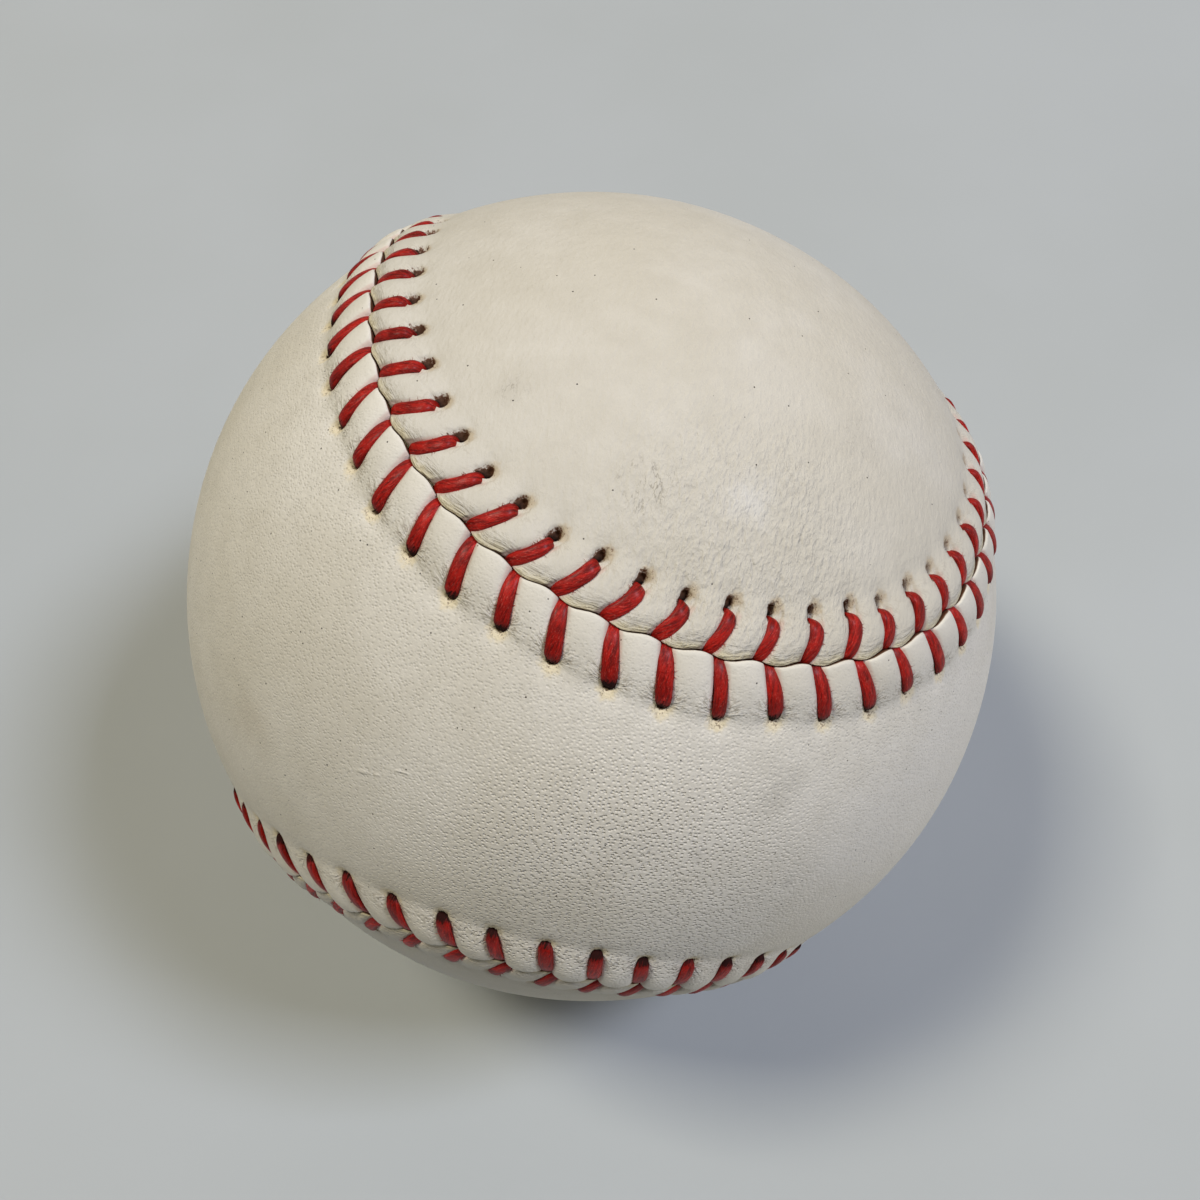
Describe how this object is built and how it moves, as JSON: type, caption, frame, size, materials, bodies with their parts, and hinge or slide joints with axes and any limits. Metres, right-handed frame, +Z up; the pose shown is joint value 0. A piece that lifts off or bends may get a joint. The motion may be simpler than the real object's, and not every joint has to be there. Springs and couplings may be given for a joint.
{
  "type": "baseball",
  "caption": "Hardball for throwing and batting: a cushioned cork core wound in wool and cotton, under a sewn two-panel leather cover with a raised red seam.",
  "frame": {"origin": "the ball's centre", "axes": "+Z up as the ball lies at rest in the picture, +Y away from the camera, +X to the camera's right"},
  "size_m": [0.0742, 0.075, 0.0742],
  "materials": {
    "cork": "granulated cork bound with rubber, matte",
    "black_rubber": "moulded rubber, matte",
    "red_rubber": "moulded rubber, matte",
    "grey_wool": "wound yarn, fuzzy",
    "white_wool": "wound yarn, fuzzy",
    "cotton": "fine wound yarn",
    "cement": "dried rubber cement, tacky satin",
    "leather": "pale tanned leather with a fine pore grain, satin, lightly soiled",
    "thread": "waxed cotton thread, satin"
  },
  "bodies": {
    "root": {"cork_core": "cork", "black_shell_upper": "black_rubber", "black_shell_lower": "black_rubber", "shell_gasket": "red_rubber", "red_rubber_jacket": "red_rubber", "wool_winding_first": "grey_wool", "wool_winding_second": "white_wool", "wool_winding_third": "grey_wool", "cotton_winding": "cotton", "cement_coat": "cement", "cover_panel_upper": "leather", "cover_panel_lower": "leather", "red_thread": "thread"}
  },
  "joints": []
}
